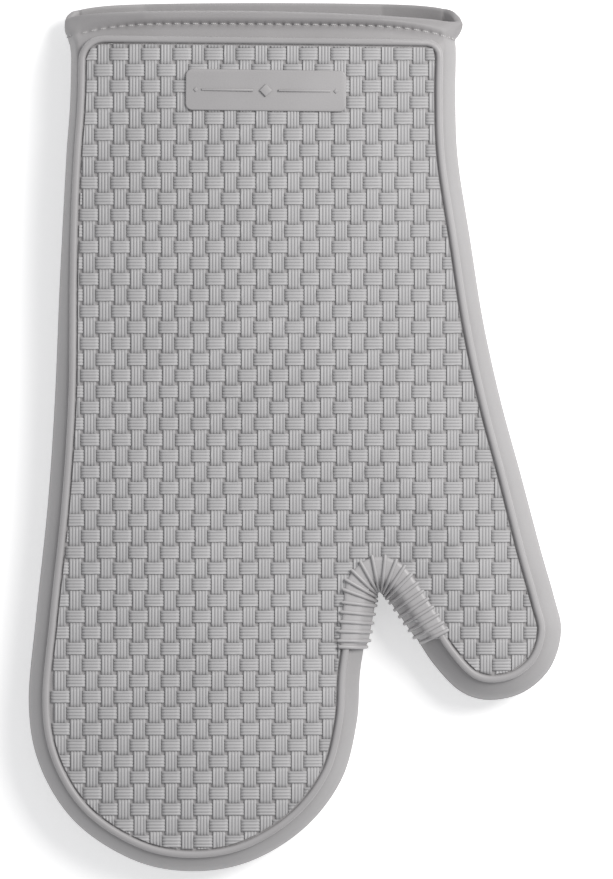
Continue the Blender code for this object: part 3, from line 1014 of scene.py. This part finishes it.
def make_sleeve():
    """The ribbed sleeve, in two parts that meet in the valley at the crotch's corner."""
    parts = {"palm": (0.0, THUMB_PART_FROM), "thumb": (THUMB_PART_FROM, float(LAST_RIB))}
    for name, (start, end) in parts.items():
        bm = bmesh.new()
        steps = round((end - start) * 2)
        numbers = [start + (end - start) * i / steps for i in range(steps + 1)]
        add_closed_sweep(bm, [sleeve_section(*sleeve_rib(number)) for number in numbers])
        for number in range(math.ceil(start), math.floor(end) + 1):
            radius = LIP_RIB_RADIUS if number in (0, LAST_RIB) else RIB_RADIUS
            add_closed_sweep(bm, rib_rows(*sleeve_rib(number), radius))
        face_outwards(bm)
        piece = finish(f"crotch_sleeve_{name}", bm, SLEEVE_SILICONE, sharp=60)
        if name == "palm":
            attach(piece, "palm")
            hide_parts("crotch_sleeve")
        else:
            bend(piece, "thumb_pinch")


def add_closed_sweep(bm, rows):
    """A surface through rings of places, closed at both ends."""
    first, last = sweep(bm, rows, closed=True)
    cap(bm, first)
    cap(bm, last)


# The name plate -----------------------------------------------------------------------------------


PLATE_SIZE = (61.0, 15.6, 2.2)
PLATE_TURN = math.radians(-0.7)
PLATE_RISE = 1.0  # from the skin's face to the plate's middle
PLATE_CORNER = 2.6
PLATE_EDGE = 0.45
DIAMOND, END_DIAMOND = 3.4, 1.3
LINE = (19.6, 0.75)
LINE_AT, END_DIAMOND_AT = 14.6, 26.6  # from the plate's middle, on both sides
ORNAMENT_HEIGHT = 0.7
ORNAMENT_EDGE = 0.18


def make_name_plate():
    """A plate without lettering, with softened edges and a small raised diamond between two lines."""
    low, high = (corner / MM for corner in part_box("name_plate"))
    centre = (low + high) / 2
    bm = bmesh.new()
    bmesh.ops.create_cube(bm, size=1, matrix=Matrix.Diagonal((*PLATE_SIZE, 1)))
    upright = [e for e in bm.edges if abs(e.verts[0].co.z - e.verts[1].co.z) > 1]
    bmesh.ops.bevel(
        bm, geom=upright, offset=PLATE_CORNER, segments=8, profile=0.5, affect="EDGES", material=-1
    )
    rim = [e for e in bm.edges if all(v.co.z > 1 for v in e.verts) and len(e.link_faces) == 2]
    bmesh.ops.bevel(bm, geom=rim, offset=PLATE_EDGE, segments=3, profile=0.5, affect="EDGES", material=-1)
    add_relief(bm, 0, (DIAMOND, DIAMOND), math.pi / 4)
    for side in (-1, 1):
        add_relief(bm, side * LINE_AT, LINE, 0)
        add_relief(bm, side * END_DIAMOND_AT, (END_DIAMOND, END_DIAMOND), math.pi / 4)
    middle = (centre.x, centre.y, MIDDLE + HALF_HEIGHT + PLATE_RISE)
    place = Matrix.Translation(middle) @ Matrix.Rotation(PLATE_TURN, 4, "Z")
    bmesh.ops.transform(bm, verts=bm.verts, matrix=place)
    plate = finish("name_plate_face", bm, BEAD_SILICONE, sharp=50)
    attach(plate, "palm")
    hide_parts("name_plate")


def add_relief(bm, x, size, turn):
    """A low raised bar on the plate's top, its own top edges softened."""
    base = PLATE_SIZE[2] / 2
    turned = Matrix.Translation((x, 0, base)) @ Matrix.Rotation(turn, 4, "Z")
    place = turned @ Matrix.Diagonal((*size, ORNAMENT_HEIGHT, 1))
    cube = bmesh.ops.create_cube(bm, size=1, matrix=place)["verts"]
    top = [e for e in {e for v in cube for e in v.link_edges} if all(v.co.z > base for v in e.verts)]
    bmesh.ops.bevel(
        bm, geom=top, offset=ORNAMENT_EDGE, segments=2, profile=0.5, affect="EDGES", material=-1
    )


# The stage ----------------------------------------------------------------------------------------

CAMERA_HEIGHT = 6.0
FOCUS_HEIGHT = 0.020
VIEW_LENGTH = 334.02 * MM  # what the view takes in from cuff to fingertips, at FOCUS_HEIGHT
SENSOR = 24
ROOM_COLOUR = (0.97, 0.98, 1.0, 1)
ROOM_LIGHT = 0.48
WINDOW_AT = (0.95, 0.6, 1.3)
WINDOW_AIM = (0.0, -0.02, 0.0)
TABLE_GLOW = 0.4


def aim(item, place, target):
    """Puts a lamp in its place and turns it to its target."""
    item.location = place
    item.rotation_euler = (Vector(place) - Vector(target)).to_track_quat("Z", "Y").to_euler()
    bpy.context.scene.collection.objects.link(item)


def make_stage():
    """A white table, soft light from the thumb side of the cuff, and a camera straight above."""
    bm = bmesh.new()
    bmesh.ops.create_grid(bm, x_segments=1, y_segments=1, size=4)
    bmesh.ops.translate(bm, vec=(0, 0, -0.0002), verts=bm.verts)
    mesh = bpy.data.meshes.new("table")
    bm.to_mesh(mesh)
    bm.free()
    white = Finish("table_white", Base_Color=(0.9, 0.9, 0.9, 1), Roughness=0.9, Specular_IOR_Level=0.1)
    white.shader.inputs["Emission Color"].default_value = (1, 1, 1, 1)
    white.shader.inputs["Emission Strength"].default_value = TABLE_GLOW
    mesh.materials.append(white.material)
    table = bpy.data.objects.new("table", mesh)
    bpy.context.scene.collection.objects.link(table)

    world = bpy.data.worlds.new("room")
    world.use_nodes = True
    world.node_tree.nodes["Background"].inputs[0].default_value = ROOM_COLOUR
    world.node_tree.nodes["Background"].inputs[1].default_value = ROOM_LIGHT
    bpy.context.scene.world = world

    softbox = bpy.data.lights.new("window", "AREA")
    softbox.size = 0.75
    softbox.energy = 24
    softbox.color = (1.0, 0.99, 0.975)
    aim(bpy.data.objects.new("window", softbox), WINDOW_AT, WINDOW_AIM)

    lens = bpy.data.cameras.new("camera")
    lens.sensor_fit = "VERTICAL"
    lens.sensor_height = SENSOR
    lens.lens = SENSOR * (CAMERA_HEIGHT - FOCUS_HEIGHT) / VIEW_LENGTH
    lens.clip_end = 20
    camera = bpy.data.objects.new("camera", lens)
    camera.location = (4.4 * MM, -1.1 * MM, CAMERA_HEIGHT)
    bpy.context.scene.collection.objects.link(camera)
    bpy.context.scene.camera = camera
    bpy.context.scene.view_settings.view_transform = "Standard"


clear_default_scene()
make_stage()
make_skin()
make_liner()
make_hem()
make_bead()
make_weave()
make_sleeve()
make_name_plate()
